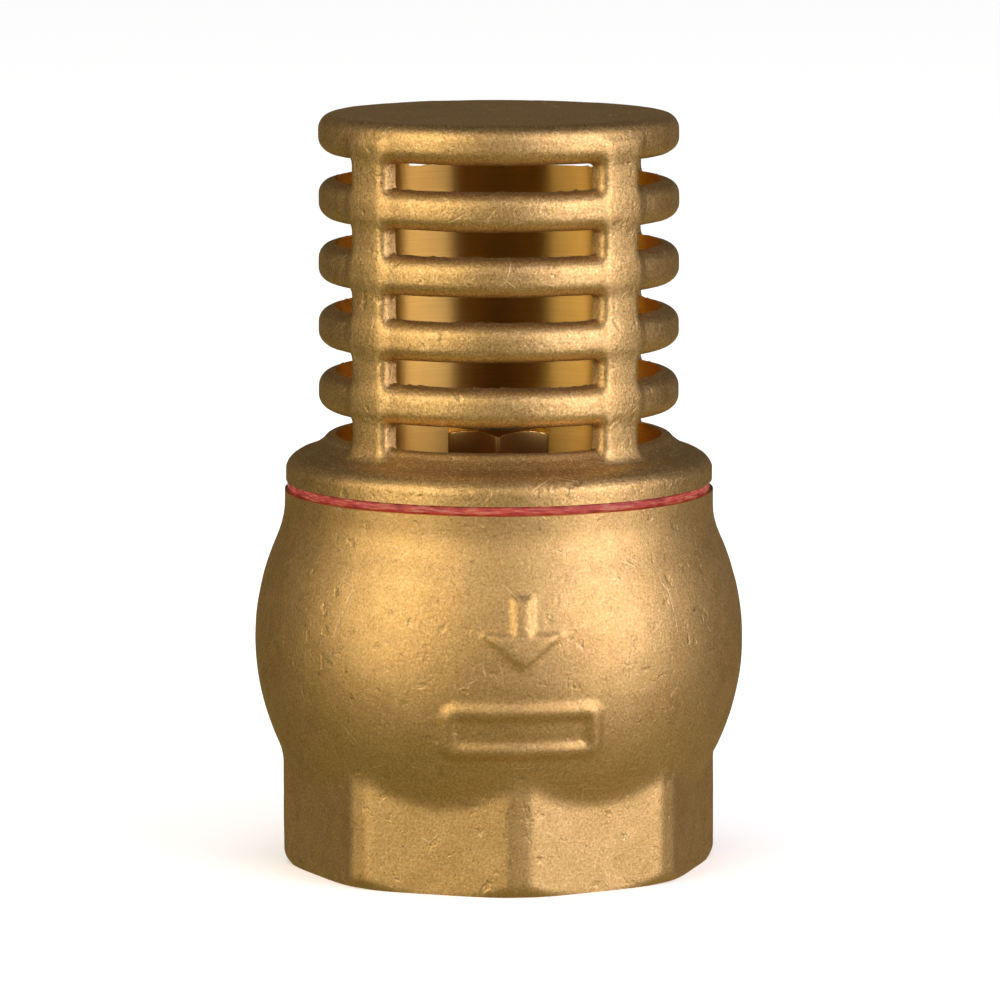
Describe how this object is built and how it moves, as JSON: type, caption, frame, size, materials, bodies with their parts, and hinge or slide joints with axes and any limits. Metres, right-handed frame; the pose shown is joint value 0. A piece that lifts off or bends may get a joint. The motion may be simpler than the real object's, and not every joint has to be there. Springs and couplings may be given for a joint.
{
  "type": "spring-loaded foot valve with strainer",
  "caption": "Brass foot valve for a suction pipe: round globe body with an octagonal threaded outlet, red gasket, and a tall slotted strainer around a spring-closed disc.",
  "frame": {"origin": "centre of the threaded outlet's end face", "axes": "+Z along the valve's axis from the outlet face towards the strainer; -Y is the side whose flow arrow faces the viewer, turned 6.5 degrees towards +X"},
  "size_m": [0.083, 0.084, 0.1277],
  "materials": {
    "cast_brass": "shot-blasted casting",
    "turned_brass": "turned",
    "stainless_steel": "turned",
    "black_rubber": "matte",
    "red_fibre": "matte pressed fibre",
    "white_plastic": "satin"
  },
  "bodies": {
    "valve": {"valve_body": "cast_brass", "strainer": "cast_brass", "flange_gasket": "red_fibre", "seat_guide": "turned_brass", "seat_o_ring": "black_rubber", "guide_bush": "white_plastic", "return_spring": "stainless_steel"},
    "collar": {"spring_collar": "stainless_steel"},
    "poppet": {"stem": "stainless_steel", "poppet_disc": "turned_brass", "disc_seal": "black_rubber", "seal_retainer": "stainless_steel", "disc_lock_washer": "stainless_steel", "disc_nut": "turned_brass", "stem_lock_washer": "stainless_steel", "stem_nut": "turned_brass"}
  },
  "joints": [
    {"name": "poppet_lift", "type": "slide", "parent": "valve", "child": "collar", "axis": [0, 0, -1], "range_m": [0, 0.008], "stiffness_N_per_m": 950, "springref_m": -0.0068, "deforming": ["return_spring"]},
    {"name": "poppet_spin", "type": "hinge", "parent": "collar", "child": "poppet", "pos_m": [0, 0, 0.0508], "axis": [0, 0, 1], "continuous": true}
  ]
}
